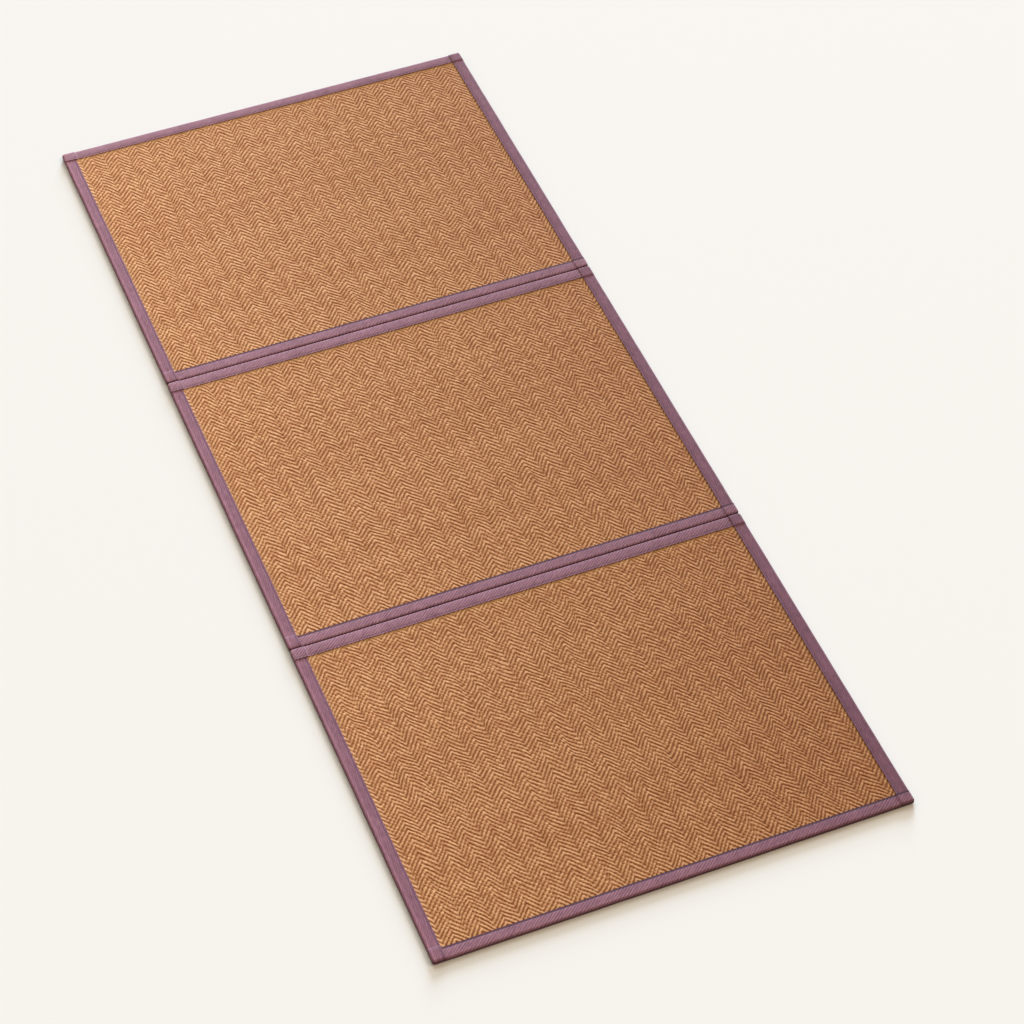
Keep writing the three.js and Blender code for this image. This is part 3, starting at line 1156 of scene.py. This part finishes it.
# %% [markdown]
# ## The look of the cotton
# The tape is a cotton twill, dyed mauve. Cotton is matt, with the faint sheen of its nap, and the
# twill shows as fine slanting ribs. A cotton twill tape has its ribs about a millimetre apart,
# which is too fine to show from here, so they are drawn two to four times as coarse. The ribs
# follow the ribbon's own measures, which every point carries, so they run round the edge with the
# cloth. Noise drawn out along the ribs bends and breaks them, as yarn of uneven thickness does.

# %% The twill
YARN_SPAN = 4 * MM  # over which a rib bends
RIB_BEND = 5.0  # by how much, where 2 pi is from rib to rib
GRAIN_SPAN = 2 * MM
DRAWN_OUT = (0.2, 1, 1)  # the yarn's unevenness is five times as long as it is wide
GRAIN_RELIEF = 0.5  # of a rib's
RIB_RELIEF = 0.16 * MM


def twill(tree, lean, pitch):
    """The height of the ribs, 0 to 1, and the grain of the yarn, at each point of the cloth."""
    cloth = add(tree, "ShaderNodeAttribute", attribute_name="cloth").outputs["Vector"]
    turned = add(
        tree, "ShaderNodeMapping", {"Vector": cloth, "Rotation": (0, 0, math.radians(-lean))}
    ).outputs["Vector"]
    axes = add(tree, "ShaderNodeSeparateXYZ", {0: turned})
    drawn_out = add(
        tree, "ShaderNodeMapping", {"Vector": turned, "Scale": DRAWN_OUT}
    ).outputs["Vector"]
    broken = add(
        tree, "ShaderNodeTexNoise", {"Vector": drawn_out, "Scale": 1 / YARN_SPAN, "Detail": 2.0}
    ).outputs["Fac"]
    ribs = add(
        tree, "ShaderNodeMath", {0: axes.outputs["Y"], 1: 2 * math.pi / pitch}, operation="MULTIPLY"
    ).outputs[0]
    bent = add(
        tree, "ShaderNodeMath", {0: broken, 1: RIB_BEND, 2: ribs}, operation="MULTIPLY_ADD"
    ).outputs[0]
    wave = add(tree, "ShaderNodeMath", {0: bent}, operation="SINE").outputs[0]
    height = add(
        tree, "ShaderNodeMapRange", {"Value": wave, "From Min": -1.0, "From Max": 1.0}
    ).outputs[0]
    grain = add(
        tree, "ShaderNodeTexNoise", {"Vector": drawn_out, "Scale": 1 / GRAIN_SPAN, "Detail": 3.0}
    ).outputs["Fac"]
    return cloth, height, grain


print("a rib bends by up to", round(RIB_BEND / (2 * math.pi), 2), "of the way to the next")

# %% [markdown]
# ## The cotton's dye, and its painted light and shade
# The dye is deeper between the ribs, uneven from yarn to yarn and in broad patches, and a painted
# highlight makes the shoulder paler. Each is a share that is added up, and the sum picks a shade
# between a dark and a full dye, before painted shade and the painted light gradient go on top.
# One function serves three cottons, which differ in dye and in how the ribs lie.

# %% Cotton materials
DYE_START, GRAIN_SHARE, DYE_SHARE = -0.55, 1.8, 0.8
DYE_SPAN = 22 * MM
# The colour of the painted shade on the cotton.
SHADE_COLOUR = "#482738"


def cotton_tape(name, colour, dark, lean, pitch, depth):
    """Dyed cotton twill. lean is the angle of its ribs from the ribbon's length, in degrees,
    pitch is from rib to rib, and depth is how much darker it is between them."""
    material, tree, shader = new_material(name, colour, 0.82, sheen=0.1)
    shader.inputs["Sheen Roughness"].default_value = 0.5
    shader.inputs["Specular IOR Level"].default_value = 0.25
    cloth, height, grain = twill(tree, lean, pitch)
    patches = add(
        tree, "ShaderNodeTexNoise", {"Vector": cloth, "Scale": 1 / DYE_SPAN, "Detail": 5.0}
    ).outputs["Fac"]
    shade = DYE_START - depth / 2
    for part, share in ((height, depth), (grain, GRAIN_SHARE), (patches, DYE_SHARE)):
        shade = add(
            tree, "ShaderNodeMath", {0: part, 1: share, 2: shade}, operation="MULTIPLY_ADD"
        ).outputs[0]

    # It gets a painted highlight on its shoulder, and painted shade in its seam, its crease and
    # near the floor.
    painted_light = add(tree, "ShaderNodeAttribute", attribute_name="painted_light").outputs["Fac"]
    shade = add(tree, "ShaderNodeMath", {0: shade, 1: painted_light}, operation="ADD").outputs[0]
    dyed = add(
        tree,
        "ShaderNodeMix",
        {0: shade, 6: linear(dark), 7: linear(colour)},
        data_type="RGBA",
        clamp_factor=False,
    ).outputs[2]
    painted_shade = add(tree, "ShaderNodeAttribute", attribute_name="dark").outputs["Fac"]
    with_painted_light = add(
        tree, "ShaderNodeMix", {0: painted_shade, 6: dyed, 7: linear(SHADE_COLOUR)}, data_type="RGBA"
    ).outputs[2]
    # The same painted light gradient as on the rush: painted shade towards the near right, painted
    # light towards the far left.
    tree.links.new(painted_light_gradient(tree, with_painted_light, "#d3c6ca"), shader.inputs["Base Color"])
    relief = add(
        tree, "ShaderNodeMath", {0: grain, 1: GRAIN_RELIEF, 2: height}, operation="MULTIPLY_ADD"
    ).outputs[0]
    bump = add(
        tree,
        "ShaderNodeBump",
        {"Height": relief, "Strength": BUMP_STRENGTH, "Distance": RIB_RELIEF},
    )
    tree.links.new(bump.outputs["Normal"], shader.inputs["Normal"])
    print(name, "has", len(tree.nodes), "nodes")
    return material


# Matt mauve cotton, with clear ribs across the mat and faint ones down its sides, where they lie
# nearly along the view. The strip below is the same cotton in a darker dye, seen only as a line.
across_tape = cotton_tape("mauve_cotton_across", "#a07281", "#734a5b", -39, 3.5 * MM, 0.9)
side_tape = cotton_tape("mauve_cotton_along", "#956576", "#6b4251", 8, 2.8 * MM, 0.35)
strip_cotton = cotton_tape("dark_cotton", "#4a313d", "#2c1c25", 45, 2 * MM, 0.4)

# %% [markdown]
# ## The look of the thread
# Sewing thread is twisted from fine yarns, so the eye sees small dark and pale flecks along it. A
# real twist is well under a millimetre. The flecks are 1.1 mm, as coarse as they need to be to
# show. Noise on the object's own coordinates is enough, as no one can follow a single twist.

# %% Thread
TWIST_MARK = 1.1 * MM
sewing_thread, thread_tree, thread_shader = new_material("sewing_thread", "#5e4467", 0.8)
thread_at = add(thread_tree, "ShaderNodeTexCoord").outputs["Object"]
twist = add(
    thread_tree, "ShaderNodeTexNoise", {"Vector": thread_at, "Scale": 1 / TWIST_MARK}
).outputs["Fac"]
twisted = add(
    thread_tree,
    "ShaderNodeMix",
    {0: twist, 6: linear("#41284d"), 7: linear("#80627f")},
    data_type="RGBA",
).outputs[2]
thread_tree.links.new(twisted, thread_shader.inputs["Base Color"])

for (_, side), tape in tapes.items():
    tape.data.materials.append(across_tape if side in ("front", "back") else side_tape)
for made in seams.values():
    made.data.materials.append(sewing_thread)
for strip in strips.values():
    strip.data.materials.append(strip_cotton)
print("cotton on", len(tapes), "tapes and", len(strips), "strips, thread on", len(seams), "seams")

# %% [markdown]
# ## Put the pieces in place
# Every piece rides on the part's one body, and takes the place of its plain solid. A tape is as
# wide as its two flaps and the edge between them, and as long as its side of the panel.

for panel, piece in rush.items():
    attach(piece, "root")
    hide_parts(f"rush_{panel}")

for (panel, side), tape in tapes.items():
    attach(tape, "root")
    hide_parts(f"tape_{panel}_{side}")
    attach(seams[panel, side], "root")

for name, strip in strips.items():
    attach(strip, "root")
    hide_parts(name)
print(len(rush) + len(tapes) + len(seams) + len(strips), "pieces are declared")
